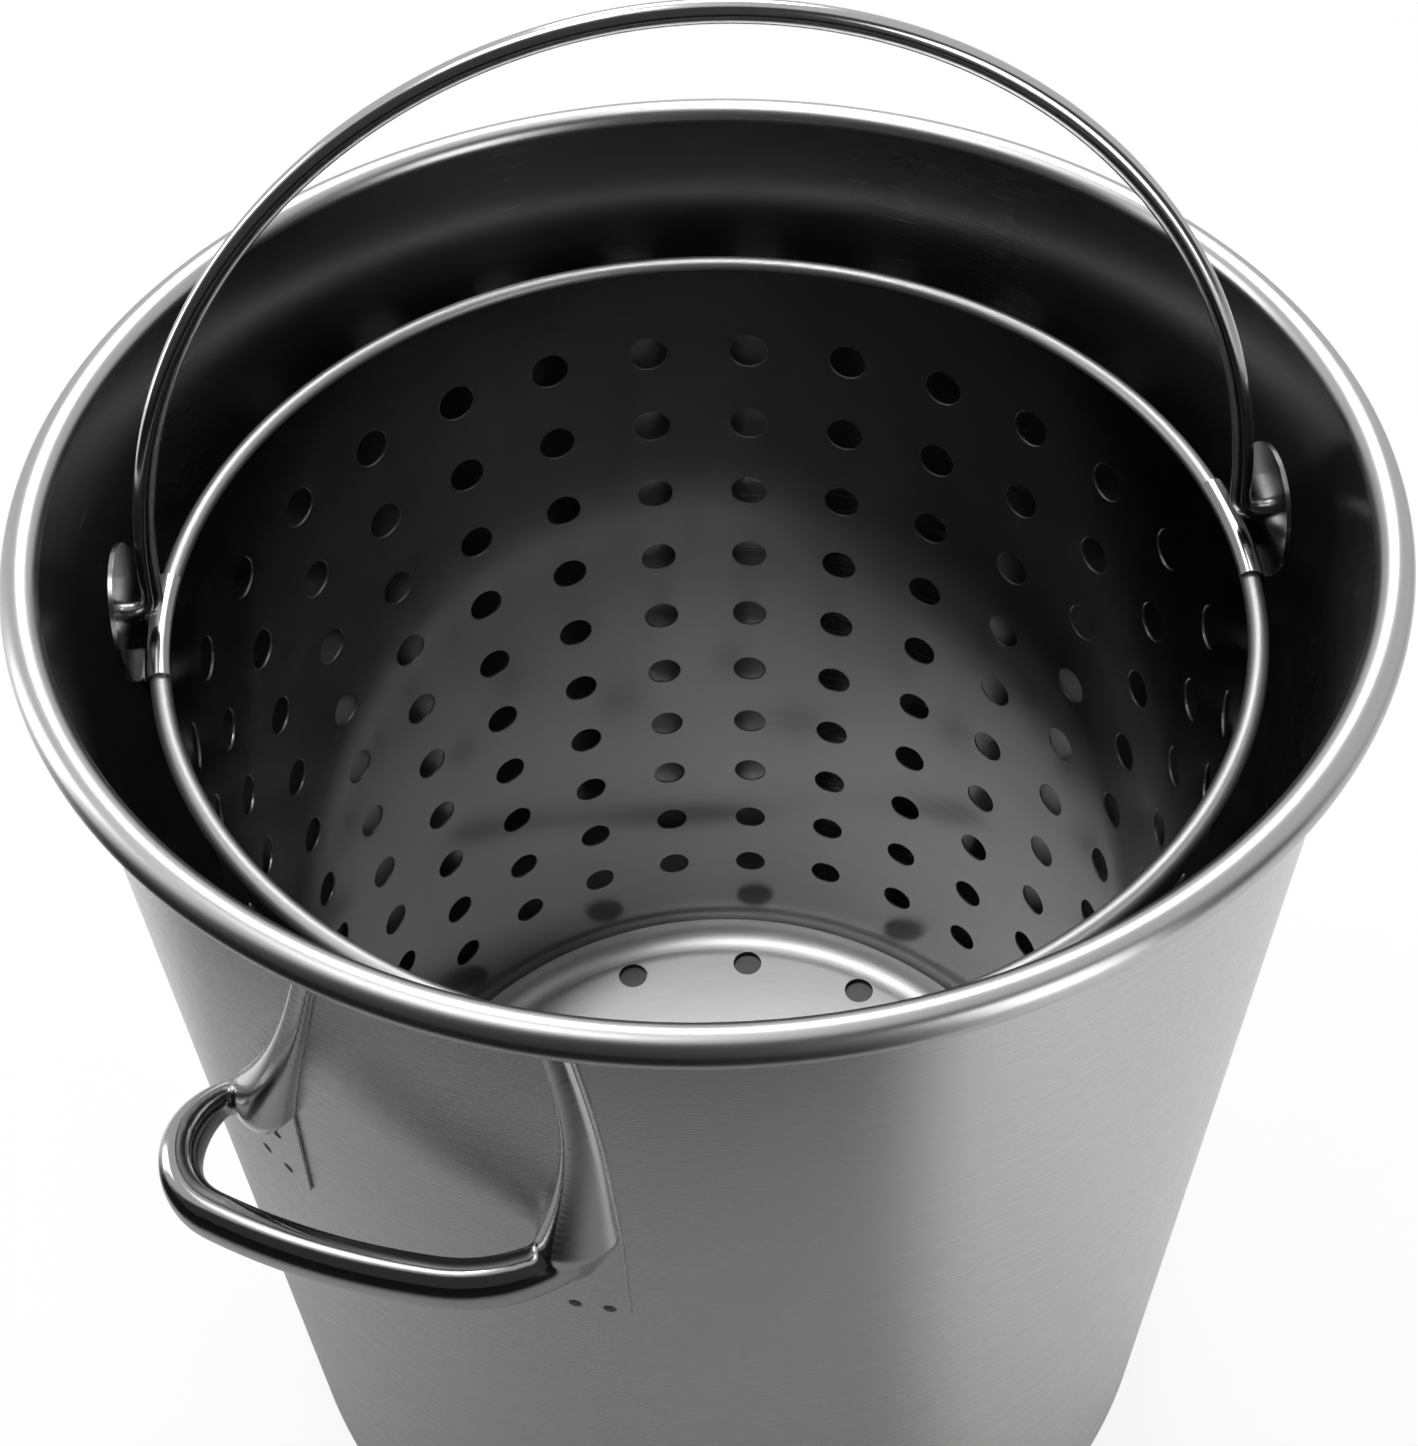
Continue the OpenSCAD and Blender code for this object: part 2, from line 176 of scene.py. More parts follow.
# One steel: every finish on the object is this with its own values, and some of their tones hold painted
# light or shade
def makeSteel(name, look):
    mat, tree, bsdf = newMaterial(name)
    coords = tree.nodes.new("ShaderNodeTexCoord").outputs["Object"]
    grain = tree.nodes.new("ShaderNodeGroup")
    grain.node_tree = turnedGrain
    grain.inputs["Lines"].default_value = look["lines"]
    grain.inputs["Along"].default_value = look["along"]
    grain.inputs["Contrast"].default_value = look["contrast"]
    tree.links.new(coords, grain.inputs["Vector"])
    marks = tree.nodes.new("ShaderNodeGroup")
    marks.node_tree = smudges
    marks.inputs["Scale"].default_value = look["smudgeScale"]
    stretch = tree.nodes.new("ShaderNodeMapping")
    stretch.inputs["Scale"].default_value = (1, 1, look["stretch"])
    tree.links.new(coords, stretch.inputs["Vector"])
    tree.links.new(stretch.outputs[0], marks.inputs["Vector"])
    tint = tree.nodes.new("ShaderNodeMix")
    tint.data_type = "RGBA"
    tint.inputs["A"].default_value = grey(look["dark"])
    tint.inputs["B"].default_value = grey(look["light"])
    tree.links.new(grain.outputs["Grain"], tint.inputs["Factor"])
    tree.links.new(tint.outputs["Result"], bsdf.inputs["Base Color"])
    leastRough = look["rough"] - look["grainRough"] / 2
    rough = mathNode(tree, "MULTIPLY_ADD", grain.outputs["Grain"], look["grainRough"], leastRough)
    rough = mathNode(tree, "MULTIPLY_ADD", marks.outputs["Blotch"], look["smudgeRough"], rough)
    tree.links.new(rough, bsdf.inputs["Roughness"])
    bsdf.inputs["Metallic"].default_value = 1.0
    bsdf.inputs["Anisotropic"].default_value = look["anisotropy"]
    bsdf.inputs["Anisotropic Rotation"].default_value = quarterTurn
    if look["anisotropy"] > 0:
        tangent = tree.nodes.new("ShaderNodeTangent")
        tangent.direction_type = "RADIAL"
        tangent.axis = "Z"
        tree.links.new(tangent.outputs[0], bsdf.inputs["Tangent"])
    wave = tree.nodes.new("ShaderNodeBump")
    wave.inputs["Strength"].default_value = 1.0
    wave.inputs["Distance"].default_value = look["waveDepth"]
    tree.links.new(marks.outputs["Wave"], wave.inputs["Height"])
    bump = tree.nodes.new("ShaderNodeBump")
    bump.inputs["Strength"].default_value = 1.0
    bump.inputs["Distance"].default_value = look["grainDepth"]
    tree.links.new(grain.outputs["Grain"], bump.inputs["Height"])
    tree.links.new(wave.outputs[0], bump.inputs["Normal"])
    tree.links.new(bump.outputs[0], bsdf.inputs["Normal"])
    return mat


outerWall = makeSteel("outerWallSteel", {
    "dark": 0.42, "light": 0.54, "lines": 1700, "along": 10, "contrast": 1.0,
    "rough": 0.24, "grainRough": 0.10, "smudgeScale": 9, "smudgeRough": 0.06, "anisotropy": 0.45,
    "grainDepth": 0.000004, "waveDepth": 0.0003, "stretch": 0.3})
innerWall = makeSteel("innerWallSteel", {
    "dark": 0.30, "light": 0.38, "lines": 900, "along": 8, "contrast": 0.8,
    "rough": 0.22, "grainRough": 0.06, "smudgeScale": 12, "smudgeRough": 0.08, "anisotropy": 0.4,
    "grainDepth": 0.000002, "waveDepth": 0.0006, "stretch": 0.1})
# painted shade: the basket's perforated wall gets a much darker tone than its bottom, though both are the
# same sheet steel
basketSheetPaintedShade = makeSteel("basketSheetSteel", {
    "dark": 0.14, "light": 0.18, "lines": 700, "along": 7, "contrast": 0.8,
    "rough": 0.11, "grainRough": 0.04, "smudgeScale": 16, "smudgeRough": 0.08, "anisotropy": 0.2,
    "grainDepth": 0.000002, "waveDepth": 0.0009, "stretch": 0.1})
# painted light: the basket's bottom gets a much lighter tone than its wall, standing in for the light that
# falls on it
basketFloorPaintedLit = makeSteel("basketFloorSteel", {
    "dark": 0.66, "light": 0.80, "lines": 600, "along": 20, "contrast": 0.9,
    "rough": 0.48, "grainRough": 0.10, "smudgeScale": 22, "smudgeRough": 0.16, "anisotropy": 0.0,
    "grainDepth": 0.000003, "waveDepth": 0.0004, "stretch": 1.0})
# painted shade: the pot's floor under the basket gets a dark tone, so the basket's holes show dark
potGroundPaintedShade = makeSteel("potGroundSteel", {
    "dark": 0.16, "light": 0.22, "lines": 600, "along": 20, "contrast": 0.9,
    "rough": 0.42, "grainRough": 0.10, "smudgeScale": 22, "smudgeRough": 0.16, "anisotropy": 0.0,
    "grainDepth": 0.000003, "waveDepth": 0.0004, "stretch": 1.0})
holeEdge = makeSteel("cutEdgeSteel", {
    "dark": 0.16, "light": 0.22, "lines": 2400, "along": 40, "contrast": 1.0,
    "rough": 0.34, "grainRough": 0.08, "smudgeScale": 60, "smudgeRough": 0.10, "anisotropy": 0.0,
    "grainDepth": 0.000004, "waveDepth": 0.00002, "stretch": 1.0})
potRim = makeSteel("potRimSteel", {
    "dark": 0.42, "light": 0.50, "lines": 900, "along": 30, "contrast": 0.7,
    "rough": 0.27, "grainRough": 0.05, "smudgeScale": 30, "smudgeRough": 0.07, "anisotropy": 0.0,
    "grainDepth": 0.000001, "waveDepth": 0.00008, "stretch": 1.0})
basketRim = makeSteel("basketRimSteel", {
    "dark": 0.28, "light": 0.35, "lines": 900, "along": 30, "contrast": 0.8,
    "rough": 0.38, "grainRough": 0.06, "smudgeScale": 26, "smudgeRough": 0.10, "anisotropy": 0.0,
    "grainDepth": 0.000001, "waveDepth": 0.00012, "stretch": 1.0})
rodSteel = makeSteel("bailRodSteel", {
    "dark": 0.46, "light": 0.54, "lines": 500, "along": 60, "contrast": 0.6,
    "rough": 0.12, "grainRough": 0.04, "smudgeScale": 30, "smudgeRough": 0.08, "anisotropy": 0.0,
    "grainDepth": 0.0000005, "waveDepth": 0.00005, "stretch": 1.0})
earSteel = makeSteel("earSteel", {
    "dark": 0.22, "light": 0.30, "lines": 300, "along": 80, "contrast": 0.8,
    "rough": 0.14, "grainRough": 0.06, "smudgeScale": 40, "smudgeRough": 0.10, "anisotropy": 0.0,
    "grainDepth": 0.000002, "waveDepth": 0.0001, "stretch": 1.0})
castSteel = makeSteel("castHandleSteel", {
    "dark": 0.34, "light": 0.42, "lines": 260, "along": 90, "contrast": 0.6,
    "rough": 0.11, "grainRough": 0.04, "smudgeScale": 40, "smudgeRough": 0.07, "anisotropy": 0.0,
    "grainDepth": 0.000001, "waveDepth": 0.00012, "stretch": 1.0})
weldSteel = makeSteel("weldMarkSteel", {
    "dark": 0.10, "light": 0.22, "lines": 1800, "along": 900, "contrast": 1.0,
    "rough": 0.50, "grainRough": 0.12, "smudgeScale": 300, "smudgeRough": 0.20, "anisotropy": 0.0,
    "grainDepth": 0.00001, "waveDepth": 0.00003, "stretch": 1.0})
print("steel finishes made")


# Mesh helpers
def linked(name, mesh):
    obj = bpy.data.objects.new(name, mesh)
    scene.collection.objects.link(obj)
    return obj


def arc(cx, cz, r, a0, a1, steps):
    return [(cx + r * math.cos(math.radians(a0 + (a1 - a0) * i / steps)),
             cz + r * math.sin(math.radians(a0 + (a1 - a0) * i / steps))) for i in range(steps + 1)]


# Adds to a bmesh the surface that a row of (radius, height, finish) points makes round the axis
def addTurned(bm, rows, steps):
    rings = []
    for r, z, slot in rows:
        if r < 1e-6:
            rings.append([bm.verts.new((0, 0, z * mm))])
            continue
        turns = [2 * math.pi * i / steps for i in range(steps)]
        rings.append([bm.verts.new((r * mm * math.cos(a), r * mm * math.sin(a), z * mm)) for a in turns])
    for k in range(len(rings) - 1):
        low, high = rings[k], rings[k + 1]
        for i in range(steps):
            j = (i + 1) % steps
            if len(low) == 1:
                face = bm.faces.new((low[0], high[j], high[i]))
            elif len(high) == 1:
                face = bm.faces.new((low[i], low[j], high[0]))
            else:
                face = bm.faces.new((low[i], low[j], high[j], high[i]))
            face.material_index = rows[k][2]
            face.smooth = True


def smoothAll(mesh):
    for poly in mesh.polygons:
        poly.use_smooth = True


# Smooth shading, with a sharp edge where two faces meet at more than the angle
def smoothByAngle(mesh, angle):
    smoothAll(mesh)
    mesh.set_sharp_from_angle(angle=math.radians(angle))


def asMesh(bm, name, finishes=()):
    mesh = bpy.data.meshes.new(name)
    bm.to_mesh(mesh)
    bm.free()
    for finish in finishes:
        mesh.materials.append(finish)
    return mesh


def addBevel(draft, width, segments, angle):
    bevel = draft.modifiers.new("edges", "BEVEL")
    bevel.width = width * mm
    bevel.segments = segments
    bevel.limit_method = "ANGLE"
    bevel.angle_limit = math.radians(angle)
    return bevel


# Cuts one object out of another with a live modifier
def addCut(draft, cutter):
    cut = draft.modifiers.new("cut", "BOOLEAN")
    cut.operation = "DIFFERENCE"
    cut.solver = "EXACT"
    cut.object = cutter


# The evaluated shape of an object as a plain mesh in a new object
def applied(draft, name):
    depsgraph = bpy.context.evaluated_depsgraph_get()
    mesh = bpy.data.meshes.new_from_object(draft.evaluated_get(depsgraph))
    mesh.name = name
    old = draft.data
    draft.modifiers.clear()
    bpy.data.objects.remove(draft)
    if old.users == 0:
        bpy.data.meshes.remove(old)
    return linked(name, mesh)


# A node's own shape with its sharp edges eased
def easedCopy(node, name, look, finish):
    mesh = nodes[node].data.copy()
    mesh.name = name
    bm = bmesh.new()
    bm.from_mesh(mesh)
    bmesh.ops.remove_doubles(bm, verts=bm.verts, dist=look["merge"] * mm)
    bmesh.ops.dissolve_degenerate(bm, edges=bm.edges, dist=look["merge"] * mm)
    bmesh.ops.dissolve_limit(bm, angle_limit=math.radians(look["flat"]), verts=bm.verts, edges=bm.edges)
    bm.to_mesh(mesh)
    bm.free()
    mesh.materials.clear()
    mesh.materials.append(finish)
    if mesh.attributes.get("custom_normal"):
        mesh.attributes.remove(mesh.attributes["custom_normal"])
    draft = linked(name + "Draft", mesh)
    addBevel(draft, look["edge"], look["segments"], look["sharp"]).harden_normals = True
    return applied(draft, name)


# Joins doubled corners and drops the loose slivers that a cut can leave
def keptWhole(mesh, look):
    bm = bmesh.new()
    bm.from_mesh(mesh)
    bmesh.ops.remove_doubles(bm, verts=bm.verts, dist=look["merge"] * mm)
    bmesh.ops.dissolve_degenerate(bm, edges=bm.edges, dist=look["merge"] * mm / 2)
    left = set(bm.faces)
    stray = []
    while left:
        island, queue = [], [left.pop()]
        while queue:
            face = queue.pop()
            island.append(face)
            near = {f for edge in face.edges for f in edge.link_faces} & left
            left -= near
            queue += near
        if len(island) < look["sliverFaces"]:
            stray += island
    bmesh.ops.delete(bm, geom=stray, context="FACES")
    bmesh.ops.recalc_face_normals(bm, faces=bm.faces)
    bm.to_mesh(mesh)
    bm.free()


# Geometry Nodes helpers
def newTree(name, sockets):
    tree = bpy.data.node_groups.new(name, "GeometryNodeTree")
    tree.interface.new_socket(name="Geometry", in_out="INPUT", socket_type="NodeSocketGeometry")
    for label, kind, value in sockets:
        socketIn(tree, label, kind, value)
    tree.interface.new_socket(name="Geometry", in_out="OUTPUT", socket_type="NodeSocketGeometry")
    return tree, tree.nodes.new("NodeGroupInput").outputs, tree.nodes.new("NodeGroupOutput").inputs


# A node with its inputs given as values or as sockets of other nodes
def addNode(tree, kind, links=None, **settings):
    n = tree.nodes.new(kind)
    for key, value in settings.items():
        setattr(n, key, value)
    for key, value in (links or {}).items():
        if isinstance(value, bpy.types.NodeSocket):
            tree.links.new(value, n.inputs[key])
        else:
            n.inputs[key].default_value = value
    return n


# The plain mesh that a tree makes of a start mesh
def runTree(tree, mesh, name, values):
    draft = linked(name + "Draft", mesh)
    mod = draft.modifiers.new("build", "NODES")
    mod.node_group = tree
    for item in tree.interface.items_tree:
        if item.in_out == "INPUT" and item.name in values:
            mod[item.identifier] = values[item.name]
    return applied(draft, name)


# Pot: floor, corner, wall and the rim rolled outwards from it
potLook = {
    "outR": 201.0, "wall": 1.2, "high": 486.0, "cornerR": 14.0, "rollD": 11.2, "rollEnd": -122.0,
    "steps": 256, "rollSteps": 40, "cornerSteps": 14, "shading": 35,
    "wallRings": (80, 160, 240, 320, 400), "floorRings": (60, 130), "rimGap": 8, "cornerGap": 3,
}


# The cross-section of a rolled rim, from the wall's outside through the roll to its inside
def rolledEdge(look):
    r = look["rollD"] / 2
    cx, cz = look["outR"] - look["wall"] + r, look["high"] - r
    hidden = arc(cx, cz, r - look["wall"], 180, look["rollEnd"], look["rollSteps"])
    return hidden + arc(cx, cz, r, look["rollEnd"], 180, look["rollSteps"])


def makePot(look):
    bm = bmesh.new()
    ro, t, cr = look["outR"], look["wall"], look["cornerR"]
    outside, inside, rim, ground = 0, 1, 2, 3
    levels = (cr + look["cornerGap"], *look["wallRings"], look["high"] - look["rollD"] - look["rimGap"])
    spread = (0, *look["floorRings"], ro - cr - look["cornerGap"])
    rows = [(x, 0, outside) for x in spread]
    rows += [(x, z, outside) for x, z in arc(ro - cr, cr, cr, -90, 0, look["cornerSteps"])]
    rows += [(ro, z, outside) for z in levels]
    rows += [(x, z, rim) for x, z in rolledEdge(look)]
    rows[-1] = (*rows[-1][:2], inside)
    rows += [(ro - t, z, inside) for z in levels[::-1]]
    rows += [(x, z, inside) for x, z in arc(ro - cr, cr, cr - t, 0, -90, look["cornerSteps"])]
    rows += [(x, t, ground) for x in spread[::-1]]
    addTurned(bm, rows, look["steps"])
    mesh = asMesh(bm, "potBody", (outerWall, innerWall, potRim, potGroundPaintedShade))
    smoothByAngle(mesh, look["shading"])
    return linked("potBody", mesh)


potBody = makePot(potLook)
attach(potBody, "pot")
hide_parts("pot_shell")
print("pot turned:", len(potBody.data.polygons), "faces")

# Basket: a perforated wall, its rolled rim and a bottom with rings of holes, raised a little in the middle
basketLook = {
    "outR": 173.0, "wall": 1.0, "low": 1.2, "high": 437.2, "cornerR": 12.0, "rollD": 6.4, "rollEnd": -122.0,
    "turn": 122.9, "columns": 27, "rows": 10, "holeR": 7.5, "topDrop": 41.6, "bottomRise": 64.1,
    "phase": -1.7, "ringR": 149.0, "ringStep": 58.0, "ringHoles": 15, "floorPhase": 6.3,
    "holeSides": 24, "dish": 3.0, "rollSteps": 24, "cornerSteps": 12, "seamGap": 0.15, "edge": 0.2,
    "sharp": 60, "shading": 25, "punchSides": 32, "punchDepth": 6.0, "sidesPerColumn": 6,
    "riseFrom": 4.5, "riseTo": 1.0, "riseSteps": 6, "middleGap": 3.0,
}


# Tree for the wall: one tile with a round hole, set out in a grid and bent round the axis
def makeWallTree():
    tree, inp, out = newTree("perforatedWall", [
        ("Columns", "NodeSocketInt", 27), ("Rows", "NodeSocketInt", 10), ("Radius", "NodeSocketFloat", 0.173),
        ("Row Pitch", "NodeSocketFloat", 0.0367), ("Hole Radius", "NodeSocketFloat", 0.0075),
        ("Hole Sides", "NodeSocketInt", 24), ("First Row", "NodeSocketFloat", 0.065),
        ("Bottom", "NodeSocketFloat", 0.0132), ("Top", "NodeSocketFloat", 0.434),
        ("Turn", "NodeSocketFloat", 0.0), ("Finish", "NodeSocketMaterial", None)])
    def m(op, a, b=None, c=None):
        return mathNode(tree, op, a, b, c)
    slack, weld = 0.00002, 0.00001  # in metres: what counts as the sheet's edge, and as one corner
    around = m("DIVIDE", m("MULTIPLY", inp["Radius"], 2 * math.pi), inp["Columns"])
    patch = addNode(tree, "GeometryNodeMeshGrid", {
        "Size X": 1.0, "Size Y": 1.0, "Vertices X": m("ADD", inp["Hole Sides"], 1.0), "Vertices Y": 5})
    at = addNode(tree, "ShaderNodeSeparateXYZ", {0: addNode(tree, "GeometryNodeInputPosition").outputs[0]})
    angle = m("MULTIPLY", m("ADD", at.outputs[0], 0.5), -2 * math.pi)
    outward = m("ADD", at.outputs[1], 0.5)
    share = m("MULTIPLY", outward, outward)
    c, s = m("COSINE", angle), m("SINE", angle)
    longest = m("MAXIMUM", m("ABSOLUTE", c), m("ABSOLUTE", s))
    edgeX = m("MULTIPLY", m("DIVIDE", c, longest), m("MULTIPLY", around, 0.5))
    edgeY = m("MULTIPLY", m("DIVIDE", s, longest), m("MULTIPLY", inp["Row Pitch"], 0.5))
    holeX, holeY = m("MULTIPLY", c, inp["Hole Radius"]), m("MULTIPLY", s, inp["Hole Radius"])
    x = m("ADD", holeX, m("MULTIPLY", m("SUBTRACT", edgeX, holeX), share))
    y = m("ADD", holeY, m("MULTIPLY", m("SUBTRACT", edgeY, holeY), share))
    place = addNode(tree, "ShaderNodeCombineXYZ", {0: x, 1: y, 2: 0.0})
    shaped = addNode(tree, "GeometryNodeSetPosition", {
        "Geometry": patch.outputs["Mesh"], "Position": place.outputs[0]})
    tile = addNode(tree, "GeometryNodeMergeByDistance", {"Geometry": shaped.outputs[0], "Distance": weld})
    lattice = addNode(tree, "GeometryNodeMeshGrid", {
        "Size X": m("MULTIPLY", around, m("SUBTRACT", inp["Columns"], 1.0)),
        "Size Y": m("MULTIPLY", inp["Row Pitch"], m("SUBTRACT", inp["Rows"], 1.0)),
        "Vertices X": inp["Columns"], "Vertices Y": inp["Rows"]})
    laid = addNode(tree, "GeometryNodeInstanceOnPoints", {
        "Points": lattice.outputs["Mesh"], "Instance": tile.outputs[0]})
    solid = addNode(tree, "GeometryNodeRealizeInstances", {"Geometry": laid.outputs[0]})
    sheet = addNode(tree, "GeometryNodeMergeByDistance", {"Geometry": solid.outputs[0], "Distance": weld})
    flat = addNode(tree, "ShaderNodeSeparateXYZ", {0: addNode(tree, "GeometryNodeInputPosition").outputs[0]})
    halfRows = m("MULTIPLY", m("MULTIPLY", inp["Row Pitch"], inp["Rows"]), 0.5)
    rowSpan = m("MULTIPLY", inp["Row Pitch"], m("SUBTRACT", inp["Rows"], 1.0))
    midRow = m("ADD", inp["First Row"], m("MULTIPLY", rowSpan, 0.5))
    atTop = m("GREATER_THAN", flat.outputs[1], m("SUBTRACT", halfRows, slack))
    atBottom = m("LESS_THAN", flat.outputs[1], m("SUBTRACT", slack, halfRows))
    between = m("SUBTRACT", m("SUBTRACT", 1.0, atTop), atBottom)
    height = m("ADD", m("MULTIPLY", m("ADD", flat.outputs[1], midRow), between),
               m("ADD", m("MULTIPLY", inp["Top"], atTop), m("MULTIPLY", inp["Bottom"], atBottom)))
    bend = m("ADD", m("DIVIDE", flat.outputs[0], inp["Radius"]), inp["Turn"])
    bent = addNode(tree, "ShaderNodeCombineXYZ", {
        0: m("MULTIPLY", m("COSINE", bend), inp["Radius"]),
        1: m("MULTIPLY", m("SINE", bend), inp["Radius"]), 2: height})
    rolled = addNode(tree, "GeometryNodeSetPosition", {
        "Geometry": sheet.outputs[0], "Position": bent.outputs[0]})
    closed = addNode(tree, "GeometryNodeMergeByDistance", {"Geometry": rolled.outputs[0], "Distance": weld})
    real = addNode(tree, "GeometryNodeRealizeInstances", {"Geometry": closed.outputs[0]})
    done = addNode(tree, "GeometryNodeSetMaterial", {"Geometry": real.outputs[0], "Material": inp["Finish"]})
    tree.links.new(done.outputs[0], out["Geometry"])
    return tree


def beadHeight(look):
    return look["high"] - look["rollD"] / 2


# The outer face of the wall with its grid of holes
def makeWallSheet(look):
    start = bpy.data.meshes.new("wallSeed")
    start.from_pydata([(0, 0, 0)], [], [])
    pitch = (look["high"] - look["low"] - look["topDrop"] - look["bottomRise"]) / (look["rows"] - 1)
    seam = look["low"] + look["cornerR"] + look["seamGap"]
    columnAngle = 2 * math.pi / look["columns"]
    # the grid's middle column lies on the turn angle, so an odd number of columns puts a hole there
    turnAngle = math.radians(look["turn"] + look["phase"]) + (0 if look["columns"] % 2 else columnAngle / 2)
    return runTree(makeWallTree(), start, "basketWallSheet", {
        "Columns": look["columns"], "Rows": look["rows"], "Radius": look["outR"] * mm,
        "Row Pitch": pitch * mm, "Hole Radius": look["holeR"] * mm, "Hole Sides": look["holeSides"],
        "First Row": (look["low"] + look["bottomRise"]) * mm, "Bottom": seam * mm,
        "Top": beadHeight(look) * mm, "Turn": turnAngle, "Finish": basketSheetPaintedShade})


# The inner face, and the sides of the holes and of the lower edge;
# gives back the corners along the open top, and the inner twin of every corner
def addInnerFace(bm, look):
    top = beadHeight(look) * mm
    rimEdges = {e for e in bm.edges if e.is_boundary and all(abs(v.co.z - top) < 1e-5 for v in e.verts)}
    holeEdges = [e for e in bm.edges if e.is_boundary and e not in rimEdges]
    outerFaces = list(bm.faces)
    share = (look["outR"] - look["wall"]) / look["outR"]
    twin = {v: bm.verts.new((v.co.x * share, v.co.y * share, v.co.z)) for v in list(bm.verts)}
    for face in outerFaces:
        bm.faces.new([twin[v] for v in reversed(face.verts)]).material_index = 0
    for edge in holeEdges:
        loop = edge.link_loops[0]
        a, b = loop.vert, loop.link_loop_next.vert
        bm.faces.new((b, a, twin[a], twin[b])).material_index = 1
    rimVerts = sorted({v for e in rimEdges for v in e.verts}, key=lambda v: math.atan2(v.co.y, v.co.x))
    return rimVerts, twin


# The rolled rim: each of the wall's top corners starts one cross-section of the roll
def addBasketRoll(bm, look, rimVerts, twin):
    columns = []
    for v in rimVerts:
        a = math.atan2(v.co.y, v.co.x)
        roll = [(x * mm * math.cos(a), x * mm * math.sin(a), z * mm) for x, z in rolledEdge(look)[1:-1]]
        columns.append([v] + [bm.verts.new(p) for p in roll] + [twin[v]])
    for i, here in enumerate(columns):
        there = columns[(i + 1) % len(columns)]
        for k in range(len(here) - 1):
            bm.faces.new((here[k], there[k], there[k + 1], here[k + 1])).material_index = 2


# Exact normals on the round walls and the roll, the faces' own on the cut edges
def setWallNormals(mesh, look):
    cz = beadHeight(look)
    cx = look["outR"] - look["wall"] + look["rollD"] / 2
    normals = []
    for poly in mesh.polygons:
        n = poly.normal
        for li in poly.loop_indices:
            p = mesh.vertices[mesh.loops[li].vertex_index].co
            radius = math.hypot(p.x, p.y)
            outward = Vector((p.x / radius, p.y / radius, 0))
            exact = n.copy()
            if p.z > (cz - 0.01) * mm and poly.material_index == 2:
                d = Vector((radius - cx * mm, p.z - cz * mm))
                d.normalize()
                exact = outward * d[0] + Vector((0, 0, d[1]))
                exact *= 1 if n.dot(exact) > 0 else -1
            elif abs(n.dot(outward)) > 0.9:
                exact = outward * (1 if n.dot(outward) > 0 else -1)
            normals.append(tuple(exact))
    mesh.normals_split_custom_set(normals)


def makeBasketWall(look):
    sheet = makeWallSheet(look)
    bm = bmesh.new()
    bm.from_mesh(sheet.data)
    bpy.data.objects.remove(sheet)
    rimVerts, twin = addInnerFace(bm, look)
    addBasketRoll(bm, look, rimVerts, twin)
    bmesh.ops.remove_doubles(bm, verts=bm.verts, dist=1e-6)
    mesh = asMesh(bm, "basketWall", (basketSheetPaintedShade, holeEdge, basketRim))
    smoothAll(mesh)
    draft = linked("basketWallDraft", mesh)
    addBevel(draft, look["edge"], 1, look["sharp"])
    piece = applied(draft, "basketWall")
    smoothAll(piece.data)
    setWallNormals(piece.data, look)
    return piece


basketWall = makeBasketWall(basketLook)
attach(basketWall, "pot")
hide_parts("basket_side")
print("basket wall punched:", len(basketWall.data.polygons), "faces")


# The bottom before it is punched: its middle raised a little, a low ring round it, a round corner to the seam
def makeDish(look):
    bm = bmesh.new()
    ro, t, cr, low, up = look["outR"], look["wall"], look["cornerR"], look["low"], look["dish"]
    top = low + cr - look["seamGap"]
    outer, inner, n = ro - cr - look["riseTo"], ro - cr - look["riseFrom"], look["riseSteps"]
    rise = [(outer + (inner - outer) * i / n, up * (1 - math.cos(math.pi * i / n)) / 2) for i in range(n + 1)]
    middle = inner - look["middleGap"]
    rows = [(0, low + up, 0), (middle, low + up, 0)] + [(r, low + h, 0) for r, h in rise[::-1]]
    rows += [(x, z, 0) for x, z in arc(ro - cr, low + cr, cr, -90, 0, look["cornerSteps"])][:-1]
    rows += [(ro, top, 1), (ro - t, top, 0)]
    rows += [(x, z, 0) for x, z in arc(ro - cr, low + cr, cr - t, 0, -90, look["cornerSteps"])][1:]
    rows += [(r, low + t + h, 0) for r, h in rise] + [(middle, low + t + up, 0), (0, low + t + up, 0)]
    addTurned(bm, rows, look["columns"] * look["sidesPerColumn"])
    return linked("bottomDish", asMesh(bm, "bottomDish", (basketFloorPaintedLit, holeEdge)))


# One cutter of all the round punches, in rings round the middle
def makePunches(look):
    bm = bmesh.new()
    level = look["low"] + look["wall"] / 2 + look["dish"]
    for ring in range(int(look["ringR"] // look["ringStep"]) + 1):
        r = look["ringR"] - ring * look["ringStep"]
        holes = max(1, round(look["ringHoles"] * r / look["ringR"]))
        for i in range(holes):
            a = math.radians(look["turn"] + look["floorPhase"] + 360 * i / holes)
            place = Matrix.Translation((r * mm * math.cos(a), r * mm * math.sin(a), level * mm))
            bmesh.ops.create_cone(bm, cap_ends=True, segments=look["punchSides"], radius1=look["holeR"] * mm,
                                  radius2=look["holeR"] * mm, depth=look["punchDepth"] * mm, matrix=place)
    for face in bm.faces:
        face.material_index = 1
    return linked("bottomPunch", asMesh(bm, "bottomPunch", (basketFloorPaintedLit, holeEdge)))


def makeBasketBottom(look):
    draft, punches = makeDish(look), makePunches(look)
    addCut(draft, punches)
    addBevel(draft, look["edge"], 1, look["sharp"])
    piece = applied(draft, "basketBottom")
    bpy.data.objects.remove(punches)
    smoothByAngle(piece.data, look["shading"])
    return piece


basketBottom = makeBasketBottom(basketLook)
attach(basketBottom, "pot")
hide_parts("basket_bottom")
print("basket bottom punched:", len(basketBottom.data.polygons), "faces")

